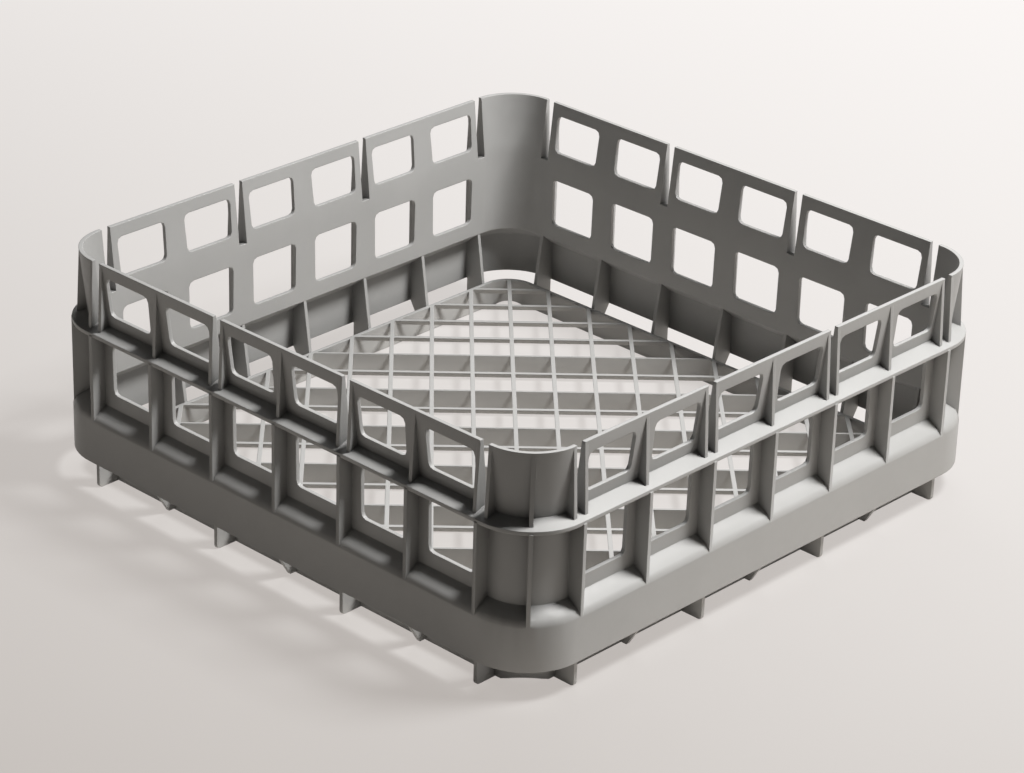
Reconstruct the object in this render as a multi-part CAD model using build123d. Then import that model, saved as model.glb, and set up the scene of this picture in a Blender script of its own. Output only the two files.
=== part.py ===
from build123d import *
from math import acos, degrees, pi, sin, tan
import os

# One-piece moulded rack for glasses, standing on the floor plane, centred on the origin.
# A point of a side's section is given as (distance from the centre, height).

# Plan
HALF = 200.0           # half width over the band
CORNER = 162.0         # centre of every corner arc, along X and along Y
PITCH = 52.7           # spacing of the ribs along a side
RIB_STEPS = range(-3, 4)

# Heights
TOP = 146.5            # upper rim
SHELF_FOOT = 106.4     # flange top where it meets the wall
SHELF_TIP = 102.6      # flange top at its outer edge
WALL_FOOT = 53.2       # shoulder top where it meets the wall
SHOULDER_TIP = 46.9    # shoulder top carried out to the band's face
BAND_FOOT = 17.3       # lower edge of the band
BASE_TOP = 17.5        # upper face of the base grid
RIM_FOOT = 0.5         # lower edge of the base rim
BLADE_FOOT = 4.0       # lower edge of the deep grid plates

# Section of a side: how far out each face lies, and how thick each part is
OUT_TOP = 194.2        # wall's outer face at the upper rim
OUT_WALL = 189.9       # from the flange down to the shoulder
OUT_FLANGE = 199.2     # flange's outer edge
WALL = 2.5
FLANGE = 2.2
SHOULDER = 3.2
BAND = 2.4
BULLNOSE = 5.0         # radius between shoulder and band

# Ribs, windows and slots
RIB = 2.4              # thickness of ribs and fins
SINK = 1.0             # how deep a rib or fin is rooted in what carries it
UPPER_RIB_OUT = 196.2  # outer edge of an upper rib, on the flange
LOWER_RIB_OUT = 199.6
RUN_OUT = 1.0          # upper ribs run out this far below the rim
UPPER_WINDOW = (113.7, 138.7, 36.0, 37.6)   # foot, head, width at foot, width at head
LOWER_WINDOW = (62.3, 94.6, 35.4, 36.4)
WINDOW_RADIUS = 3.6
SLOT_STEPS = (-3, -1, 1, 3)
SLOT = 6.2             # width of a slot, with a rib flush on each side of it
PAST = 10.0            # how far a cutter runs past the part

# Base
RIM_OUT = 182.5
RIM = 2.4
GRID_PITCH = 25.8
GRID_STEPS = range(-9, 10)
DEEP_STEPS = (-5, -3, -1, 1, 3, 5)
BAR = 2.8              # width of a grid bar's flat top
BAR_DEPTH = 3.2        # depth of its wedge-shaped section
BLADE = 1.6            # thickness of a deep grid plate
FIN_ROOT = 10.0        # a fin's inner edge leaves the rim from this height
FOOT_OUT = 196.6
FOOT_RADIUS = 2.0
SMALL_FIN_OUT = 187.5
SMALL_FIN_FOOT = 1.5
CORNER_CUT = 244.8     # the rim's foot is cut away from here, along the diagonal
CORNER_CUT_ANGLE = 38.0


def eased(points, place, radius, flats):
    """Replaces one corner of an outline by short flats that lie on its arc."""
    before = Vector(*points[place - 1])
    tip = Vector(*points[place])
    after = Vector(*points[(place + 1) % len(points)])
    back = (before - tip).normalized()
    ahead = (after - tip).normalized()
    half_angle = acos(back.dot(ahead)) / 2
    middle = tip + (back + ahead).normalized() * (radius / sin(half_angle))
    start = tip + back * (radius / tan(half_angle)) - middle
    turn = degrees(pi - 2 * half_angle)
    if back.cross(ahead).Z > 0:
        turn = -turn
    arc = [middle + start.rotate(Axis.Z, turn * step / flats) for step in range(flats + 1)]
    return points[:place] + [(point.X, point.Y) for point in arc] + points[place + 1:]


def section(points):
    """Face in the vertical plane through the X axis."""
    return make_face(Plane.XZ * Polyline(*points, close=True))


def ring(face):
    """Carries a section round the rounded square plan."""
    side = extrude(face, CORNER, both=True)
    corner = revolve(Pos(0, CORNER, 0) * face, Axis((CORNER, CORNER, 0), (0, 0, 1)), 90)
    return Part() + on_four_sides([side, corner])


def on_four_sides(pieces):
    return [Rot(0, 0, turn) * piece for turn in (0, 90, 180, 270) for piece in pieces]


def plate(points, along):
    """Flat rib square to the side, at a place along it."""
    return Pos(0, along, 0) * extrude(section(points), RIB / 2, both=True)


def corner_plate(points):
    """The same rib turned onto the corner's diagonal."""
    moved = [(out - CORNER, height) for out, height in points]
    return Pos(CORNER, CORNER, 0) * Rot(0, 0, 45) * plate(moved, 0)


def wall_ring():
    """Leaning wall, sloping flange and shoulder, and the band, in one section."""
    shoulder_corner = (HALF, SHOULDER_TIP)
    points = [
        (OUT_TOP - WALL, TOP),
        (OUT_WALL - WALL, SHELF_FOOT),
        (OUT_WALL - WALL, WALL_FOOT - SINK),
        (HALF - BAND, SHOULDER_TIP - SHOULDER),
        (HALF - BAND, BAND_FOOT),
        (HALF, BAND_FOOT),
        shoulder_corner,
        (OUT_WALL, WALL_FOOT),
        (OUT_WALL, SHELF_FOOT - FLANGE),
        (OUT_FLANGE, SHELF_TIP - FLANGE),
        (OUT_FLANGE, SHELF_TIP),
        (OUT_WALL, SHELF_FOOT),
        (OUT_TOP, TOP),
    ]
    return ring(section(eased(points, points.index(shoulder_corner), BULLNOSE, flats=1)))


def upper_ribs():
    """Tapered ribs beside every slot, in the middle of every panel and on the corners."""
    points = [
        (OUT_WALL - SINK, SHELF_FOOT - SINK),
        (UPPER_RIB_OUT, SHELF_TIP),
        (OUT_TOP - RUN_OUT / 5, TOP - RUN_OUT),
    ]
    beside = (SLOT + RIB) / 2
    places = [step * PITCH + shift for step in SLOT_STEPS for shift in (-beside, beside)]
    places += [step * PITCH for step in (-2, 0, 2)]
    return [plate(points, along) for along in places] + [corner_plate(points)]


def lower_ribs():
    """Straight ribs between the shoulder and the flange."""
    points = [
        (OUT_WALL - SINK, WALL_FOOT - SINK),
        (LOWER_RIB_OUT, SHOULDER_TIP - SHOULDER),
        (LOWER_RIB_OUT, SHELF_TIP - FLANGE + SINK / 2),
        (OUT_WALL - SINK, SHELF_FOOT - SINK),
    ]
    return [plate(points, step * PITCH) for step in RIB_STEPS] + [corner_plate(points)]


def through(outline):
    """Cutter with this outline, through both opposite walls."""
    return extrude(section(outline), HALF + PAST, both=True)


def window(size):
    foot, head, low_width, high_width = size
    outline = [(-low_width / 2, foot), (low_width / 2, foot), (high_width / 2, head), (-high_width / 2, head)]
    for place in (3, 2, 1, 0):
        outline = eased(outline, place, WINDOW_RADIUS, flats=2)
    return through(outline)


def slot():
    """Cutter for one slot, from the flange up and open at the rim."""
    half = SLOT / 2
    return through([(-half, SHELF_FOOT), (half, SHELF_FOOT), (half, TOP + PAST), (-half, TOP + PAST)])


def wall_cutters():
    bays = [(step + 0.5) * PITCH for step in RIB_STEPS[:-1]]
    row = [Pos(bay, 0, 0) * window(size) for bay in bays for size in (LOWER_WINDOW, UPPER_WINDOW)]
    row += [Pos(step * PITCH, 0, 0) * slot() for step in SLOT_STEPS]
    return [Rot(0, 0, turn) * cutter for turn in (0, 90) for cutter in row]


def fin(step, foot):
    """Fin between the base rim and the band, under the shoulder; its lower outline is given."""
    head = [
        (RIM_OUT - SINK, foot[-1][1]),
        (RIM_OUT - SINK, FIN_ROOT),
        (OUT_WALL - WALL + SINK / 2, WALL_FOOT - SINK),
        (HALF - BAND + SINK, SHOULDER_TIP - SHOULDER + SINK / 2),
        (HALF - BAND + SINK, BAND_FOOT + 2 * SINK),
    ]
    return plate(head + foot, step * PITCH)


def small_fin(step):
    """Fin whose outer edge slopes back to the foot of the rim."""
    return fin(step, [(SMALL_FIN_OUT, SMALL_FIN_FOOT)])


def foot_fin(step):
    """Fin that goes down to the floor as a foot, with an eased toe."""
    foot = [(FOOT_OUT, BAND_FOOT), (FOOT_OUT, 0), (RIM_OUT - SINK / 2, 0)]
    return fin(step, eased(foot, 1, FOOT_RADIUS, flats=2))


def fins():
    return [foot_fin(step) if step % 2 else small_fin(step) for step in RIB_STEPS]


def base_rim():
    """Upright rim round the grid, with its foot cut away on a slope at the corners."""
    inner = RIM_OUT - RIM
    rim = ring(section([(inner, RIM_FOOT), (RIM_OUT, RIM_FOOT), (RIM_OUT, BASE_TOP), (inner, BASE_TOP)]))
    below = Box(RIM_OUT, RIM_OUT, PAST, align=(Align.MIN, Align.CENTER, Align.MAX))
    cutter = Rot(0, 0, 45) * Pos(CORNER_CUT, 0, RIM_FOOT) * Rot(0, -CORNER_CUT_ANGLE, 0) * below
    return rim - on_four_sides([cutter])


def base_grid():
    """Wedge-shaped bars along both diagonals, and deep plates along one of them."""
    reach = 3 * RIM_OUT
    bar = extrude(section([(-BAR / 2, 0), (BAR / 2, 0), (0, -BAR_DEPTH)]), reach / 2, both=True)
    blade = Box(BLADE, reach, BASE_TOP - BLADE_FOOT, align=(Align.CENTER, Align.CENTER, Align.MAX))
    across = [Pos(step * GRID_PITCH, 0, 0) * (blade if step in DEEP_STEPS else bar) for step in GRID_STEPS]
    along = [Rot(0, 0, 90) * Pos(step * GRID_PITCH, 0, 0) * bar for step in GRID_STEPS]
    grid = Pos(0, 0, BASE_TOP) * Rot(0, 0, -45) * (Part() + across + along)
    middle = RIM_OUT - RIM / 2
    plan = fillet(Rectangle(2 * middle, 2 * middle).vertices(), middle - CORNER)
    return grid & extrude(plan, BASE_TOP)


def rack():
    upper = wall_ring() + on_four_sides(upper_ribs() + lower_ribs())
    upper = upper - wall_cutters()
    base = base_rim() + base_grid()
    return upper + base + on_four_sides(fins())


part = rack()
part.label = "glass_rack"
os.makedirs("parts", exist_ok=True)
export_step(part, "parts/glass_rack.step")
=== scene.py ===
from math import cos, radians, sin

import bpy
from mathutils import Matrix, Vector


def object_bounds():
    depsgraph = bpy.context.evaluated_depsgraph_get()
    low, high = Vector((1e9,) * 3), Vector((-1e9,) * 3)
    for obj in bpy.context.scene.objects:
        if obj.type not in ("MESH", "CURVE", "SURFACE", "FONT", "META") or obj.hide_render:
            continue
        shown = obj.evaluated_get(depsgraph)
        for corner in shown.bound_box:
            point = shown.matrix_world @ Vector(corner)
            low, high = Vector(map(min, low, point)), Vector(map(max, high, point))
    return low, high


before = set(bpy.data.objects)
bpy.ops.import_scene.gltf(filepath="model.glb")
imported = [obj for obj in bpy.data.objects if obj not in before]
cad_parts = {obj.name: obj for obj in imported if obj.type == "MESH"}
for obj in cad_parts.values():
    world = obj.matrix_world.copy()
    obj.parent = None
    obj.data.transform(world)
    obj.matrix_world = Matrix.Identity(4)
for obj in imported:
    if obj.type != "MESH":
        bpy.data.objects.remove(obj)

# Everything is in metres, in the part's own frame: the rack stands on z = 0, centred on the origin.
CAD_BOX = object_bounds()
MIDDLE = (CAD_BOX[0] + CAD_BOX[1]) / 2
FRONT = Vector((1, -1, 0)).normalized()   # from the middle out over the front corner

# Camera: a long lens that looks down on the front corner
CAMERA_AZIMUTH = radians(43.14)
CAMERA_ELEVATION = radians(25.91)
CAMERA_ROLL = radians(1.76)
CAMERA_PLACE = Vector((1.26711, -1.35775, 0.96042))
CAMERA_REACH = 50.0
SENSOR = 36.0            # width in millimetres
LENS = 120.68            # focal length in millimetres

# Light: a high soft key on the right, a weak soft box behind the rack, and a dim surround
KEY_DIRECTION = Vector((0.46, 0.33, 1.0)).normalized()
KEY_DISTANCE = 1.4
KEY_SIZE = 0.40
KEY_WATTS = 31.0
BOX_DIRECTION = Vector((-0.5, 0.6, 1.0)).normalized()
BOX_DISTANCE = 1.8
BOX_SIZE = 0.8
BOX_WATTS = 9.0
LAMP_COLOUR = (1.0, 0.99, 0.975)
SURROUND_COLOUR = (1.0, 0.985, 0.965, 1.0)
SURROUND_STRENGTH = 0.035

# Plastic: flow mottling in its colour, scuffs in its gloss, and a moulded grain
PLASTIC = (0.378, 0.377, 0.371, 1.0)
PLASTIC_PALE = (0.408, 0.407, 0.401, 1.0)
PLASTIC_IOR = 1.49
MOTTLE = {"Scale": 14.0, "Detail": 5.0, "Roughness": 0.6}
MOTTLE_SPAN = (0.35, 0.68)     # of the noise: from the plain colour to the pale one
SCUFF = {"Scale": 160.0, "Detail": 3.0, "Roughness": 0.7}
SCUFF_SPAN = (0.3, 0.7)        # of the noise: from the least rough skin to the roughest
ROUGHNESS = (0.40, 0.52)
GRAIN = {"Scale": 1500.0, "Detail": 2.0, "Roughness": 0.6}
GRAIN_DEPTH = 0.0002
GRAIN_STRENGTH = 0.10

# Edges: they shade as if they were rounded, and they are rubbed paler
EDGE_COLOUR = (0.480, 0.478, 0.470, 1.0)
EDGE_RADIUS = 0.0007
EDGE_SAMPLES = 6
EDGE_COSINES = (0.99, 0.80)    # of the turn away from the face: where wear begins, and where it is full

# Tight inner corners: painted shade makes them darker
CORNER_REACH = 0.03            # how near other faces are to close a corner in
CORNER_SAMPLES = 8
CORNER_OPENNESS = (0.2, 0.65)  # of the tightest corner, and of a face that keeps its colour
PAINTED_SHADE_KEEPS = 0.3             # what the tightest corner keeps of its colour

# Mesh shading: arcs are smooth and flat faces are flat
WELD_REACH = 0.00001
SMOOTH_TURN = radians(50)      # edges that turn by less belong to an arc
FLAT_WEIGHT = 90               # of 100: how far large flat faces keep their own normals

# Floor: the rack is lit by pale card that ends in front, and the camera sees a weakly shaded glow
FLOOR_HALF = 6.0
FLOOR_ROUGHNESS = 0.9
CARD = (0.67, 0.625, 0.575, 1.0)
CARD_BEYOND = (0.06, 0.056, 0.05, 1.0)
CARD_END = (0.26, 0.58)        # stretch in front of the middle over which the card gives way
CARD_GLOSS = 0.15
SHADE = (0.130, 0.130, 0.130, 1.0)
GLOW_NEAR = (0.36, 0.325, 0.297, 1.0)
GLOW_FAR = (0.83, 0.80, 0.785, 1.0)
GLOW_DIRECTION = (-0.35, 0.94, 0.0)
GLOW_STRETCH = (-0.7, 1.0)     # along that direction, from the near colour to the far one


def node(tree, kind, **values):
    """Adds a shader node and sets its plain inputs by name."""
    made = tree.nodes.new(kind)
    for name, value in values.items():
        made.inputs[name.replace("_", " ")].default_value = value
    return made


def new_material(name):
    material = bpy.data.materials.new(name)
    material.use_nodes = True
    tree = material.node_tree
    return material, tree, tree.nodes["Principled BSDF"]


def noise(tree, settings):
    """Noise that is fixed to the object."""
    place = node(tree, "ShaderNodeTexCoord")
    made = node(tree, "ShaderNodeTexNoise", **settings)
    tree.links.new(place.outputs["Object"], made.inputs["Vector"])
    return made.outputs["Fac"]


def along(tree, direction):
    """How far a point lies from the object's origin, along a direction."""
    place = node(tree, "ShaderNodeTexCoord")
    made = node(tree, "ShaderNodeVectorMath")
    made.operation = "DOT_PRODUCT"
    made.inputs[1].default_value = direction
    tree.links.new(place.outputs["Object"], made.inputs[0])
    return made.outputs["Value"]


def combined(tree, operation, first, second):
    """Puts two values together by an operation."""
    made = node(tree, "ShaderNodeMath")
    made.operation = operation
    tree.links.new(first, made.inputs[0])
    tree.links.new(second, made.inputs[1])
    return made.outputs["Value"]


def mapped(tree, value, start, end=(0.0, 1.0)):
    """Carries a value from one range over to another, and keeps it within that."""
    ends = {"From_Min": start[0], "From_Max": start[1], "To_Min": end[0], "To_Max": end[1]}
    made = node(tree, "ShaderNodeMapRange", **ends)
    tree.links.new(value, made.inputs["Value"])
    return made.outputs["Result"]


def between(tree, value, colours, span=(0.0, 1.0)):
    """Goes from one colour to another as a value crosses a span."""
    made = node(tree, "ShaderNodeValToRGB")
    for element, position, colour in zip(made.color_ramp.elements, span, colours):
        element.position = position
        element.color = colour
    tree.links.new(value, made.inputs["Fac"])
    return made.outputs["Color"]


def edge_mask(tree, rounded):
    """One on edges, where the rounded normal leaves the face's own normal, and zero on flat faces."""
    face = node(tree, "ShaderNodeNewGeometry")
    cosine = node(tree, "ShaderNodeVectorMath")
    cosine.operation = "DOT_PRODUCT"
    tree.links.new(rounded.outputs["Normal"], cosine.inputs[0])
    tree.links.new(face.outputs["Normal"], cosine.inputs[1])
    return mapped(tree, cosine.outputs["Value"], EDGE_COSINES)


def painted_corner_shade(tree):
    """Painted shade: one on open faces, and less in tight inner corners, where the colour is darkened."""
    openness = node(tree, "ShaderNodeAmbientOcclusion", Distance=CORNER_REACH)
    openness.samples = CORNER_SAMPLES
    openness.only_local = True
    return mapped(tree, openness.outputs["AO"], CORNER_OPENNESS, (PAINTED_SHADE_KEEPS, 1.0))


def moulded_plastic():
    """Satin grey plastic: mottled, grained and scuffed, with paler edges and painted shade in tight
    corners.
    """
    material, tree, shader = new_material("moulded_plastic")
    link = tree.links.new
    rounded = node(tree, "ShaderNodeBevel", Radius=EDGE_RADIUS)
    rounded.samples = EDGE_SAMPLES
    scuff = noise(tree, SCUFF)

    worn = node(tree, "ShaderNodeMix")
    worn.data_type = "RGBA"
    worn.inputs["B"].default_value = EDGE_COLOUR
    link(between(tree, noise(tree, MOTTLE), (PLASTIC, PLASTIC_PALE), MOTTLE_SPAN), worn.inputs["A"])
    link(combined(tree, "MULTIPLY", edge_mask(tree, rounded), scuff), worn.inputs["Factor"])
    # Painted shade: the colour is multiplied down in tight inner corners
    shade_painted = node(tree, "ShaderNodeMix", Factor=1.0)
    shade_painted.data_type = "RGBA"
    shade_painted.blend_type = "MULTIPLY"
    link(worn.outputs["Result"], shade_painted.inputs["A"])
    link(painted_corner_shade(tree), shade_painted.inputs["B"])
    link(shade_painted.outputs["Result"], shader.inputs["Base Color"])

    link(mapped(tree, scuff, SCUFF_SPAN, ROUGHNESS), shader.inputs["Roughness"])
    shader.inputs["IOR"].default_value = PLASTIC_IOR

    skin = node(tree, "ShaderNodeBump", Strength=GRAIN_STRENGTH, Distance=GRAIN_DEPTH)
    link(noise(tree, GRAIN), skin.inputs["Height"])
    link(rounded.outputs["Normal"], skin.inputs["Normal"])
    link(skin.outputs["Normal"], shader.inputs["Normal"])
    return material


def sharp_above(limit):
    """Node group that shades a mesh smooth, but for its edges that turn by more than a limit."""
    group = bpy.data.node_groups.new("sharp_above", "GeometryNodeTree")
    for way in ("INPUT", "OUTPUT"):
        group.interface.new_socket("Geometry", in_out=way, socket_type="NodeSocketGeometry")
    link = group.links.new
    start = group.nodes.new("NodeGroupInput")
    end = group.nodes.new("NodeGroupOutput")
    faces = group.nodes.new("GeometryNodeSetShadeSmooth")
    edges = group.nodes.new("GeometryNodeSetShadeSmooth")
    edges.domain = "EDGE"
    edges.inputs["Shade Smooth"].default_value = False
    turn = group.nodes.new("GeometryNodeInputMeshEdgeAngle")
    sharp = group.nodes.new("FunctionNodeCompare")
    sharp.operation = "GREATER_THAN"
    sharp.inputs[1].default_value = limit
    link(turn.outputs["Unsigned Angle"], sharp.inputs[0])
    link(sharp.outputs["Result"], edges.inputs["Selection"])
    link(start.outputs["Geometry"], faces.inputs["Geometry"])
    link(faces.outputs["Geometry"], edges.inputs["Geometry"])
    link(edges.outputs["Geometry"], end.inputs["Geometry"])
    return group


def smooth_shading(rack):
    """Shades arcs as arcs, while flat faces keep their own normals; the mesh itself stays as it is."""
    weld = rack.modifiers.new("weld", "WELD")
    weld.merge_threshold = WELD_REACH
    edges = rack.modifiers.new("sharp_edges", "NODES")
    edges.node_group = sharp_above(SMOOTH_TURN)
    normals = rack.modifiers.new("flat_faces", "WEIGHTED_NORMAL")
    normals.mode = "FACE_AREA"
    normals.weight = FLAT_WEIGHT
    normals.keep_sharp = True


def dress_rack():
    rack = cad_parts["glass_rack"]
    rack.data.materials.clear()
    rack.data.materials.append(moulded_plastic())
    smooth_shading(rack)


def floor_material():
    """Card for the light that reaches the rack, and for the camera a glow that pales into the distance."""
    material, tree, card = new_material("pale_floor")
    link = tree.links.new
    ahead = mapped(tree, along(tree, FRONT), CARD_END)
    link(between(tree, ahead, (CARD, CARD_BEYOND)), card.inputs["Base Color"])
    card.inputs["Roughness"].default_value = FLOOR_ROUGHNESS
    card.inputs["Specular IOR Level"].default_value = CARD_GLOSS

    seen = node(tree, "ShaderNodeBsdfPrincipled", Base_Color=SHADE, Roughness=FLOOR_ROUGHNESS)
    seen.inputs["Specular IOR Level"].default_value = 0.0
    seen.inputs["Emission Strength"].default_value = 1.0
    away = mapped(tree, along(tree, GLOW_DIRECTION), GLOW_STRETCH)
    link(between(tree, away, (GLOW_NEAR, GLOW_FAR)), seen.inputs["Emission Color"])

    ray = node(tree, "ShaderNodeLightPath").outputs
    straight = combined(tree, "MAXIMUM", ray["Is Camera Ray"], ray["Is Glossy Ray"])
    straight = combined(tree, "MAXIMUM", straight, ray["Is Transmission Ray"])
    both = node(tree, "ShaderNodeMixShader")
    link(straight, both.inputs["Fac"])
    link(card.outputs["BSDF"], both.inputs[1])
    link(seen.outputs["BSDF"], both.inputs[2])
    link(both.outputs["Shader"], tree.nodes["Material Output"].inputs["Surface"])
    return material


def add_floor():
    corners = [(x * FLOOR_HALF, y * FLOOR_HALF, 0.0) for x, y in ((-1, -1), (1, -1), (1, 1), (-1, 1))]
    mesh = bpy.data.meshes.new("floor")
    mesh.from_pydata(corners, [], [(0, 1, 2, 3)])
    floor = bpy.data.objects.new("floor", mesh)
    floor.data.materials.append(floor_material())
    bpy.context.scene.collection.objects.link(floor)


def add_camera():
    back = Vector((
        sin(CAMERA_AZIMUTH) * cos(CAMERA_ELEVATION),
        -cos(CAMERA_AZIMUTH) * cos(CAMERA_ELEVATION),
        sin(CAMERA_ELEVATION),
    ))
    level_right = Vector((cos(CAMERA_AZIMUTH), sin(CAMERA_AZIMUTH), 0.0))
    level_up = back.cross(level_right)
    right = cos(CAMERA_ROLL) * level_right + sin(CAMERA_ROLL) * level_up
    up = back.cross(right)
    data = bpy.data.cameras.new("camera")
    data.sensor_width = SENSOR
    data.lens = LENS
    data.clip_end = CAMERA_REACH
    camera = bpy.data.objects.new("camera", data)
    turn = Matrix((right, up, back)).transposed().to_4x4()
    camera.matrix_world = Matrix.Translation(CAMERA_PLACE) @ turn
    bpy.context.scene.collection.objects.link(camera)
    bpy.context.scene.camera = camera


def add_lamp(name, shape, size, watts, place):
    """Area lamp that faces the rack."""
    data = bpy.data.lights.new(name, "AREA")
    data.shape = shape
    data.size = size
    data.energy = watts
    data.color = LAMP_COLOUR
    lamp = bpy.data.objects.new(name, data)
    lamp.location = place
    lamp.rotation_euler = (place - MIDDLE).to_track_quat("Z", "Y").to_euler()
    bpy.context.scene.collection.objects.link(lamp)


def add_surround():
    world = bpy.data.worlds.new("surround")
    world.use_nodes = True
    surround = world.node_tree.nodes["Background"]
    surround.inputs["Color"].default_value = SURROUND_COLOUR
    surround.inputs["Strength"].default_value = SURROUND_STRENGTH
    bpy.context.scene.world = world


dress_rack()
add_floor()
add_camera()
add_lamp("key", "DISK", KEY_SIZE, KEY_WATTS, MIDDLE + KEY_DISTANCE * KEY_DIRECTION)
add_lamp("soft_box", "SQUARE", BOX_SIZE, BOX_WATTS, MIDDLE + BOX_DISTANCE * BOX_DIRECTION)
add_surround()
bpy.context.scene.view_settings.view_transform = "Standard"
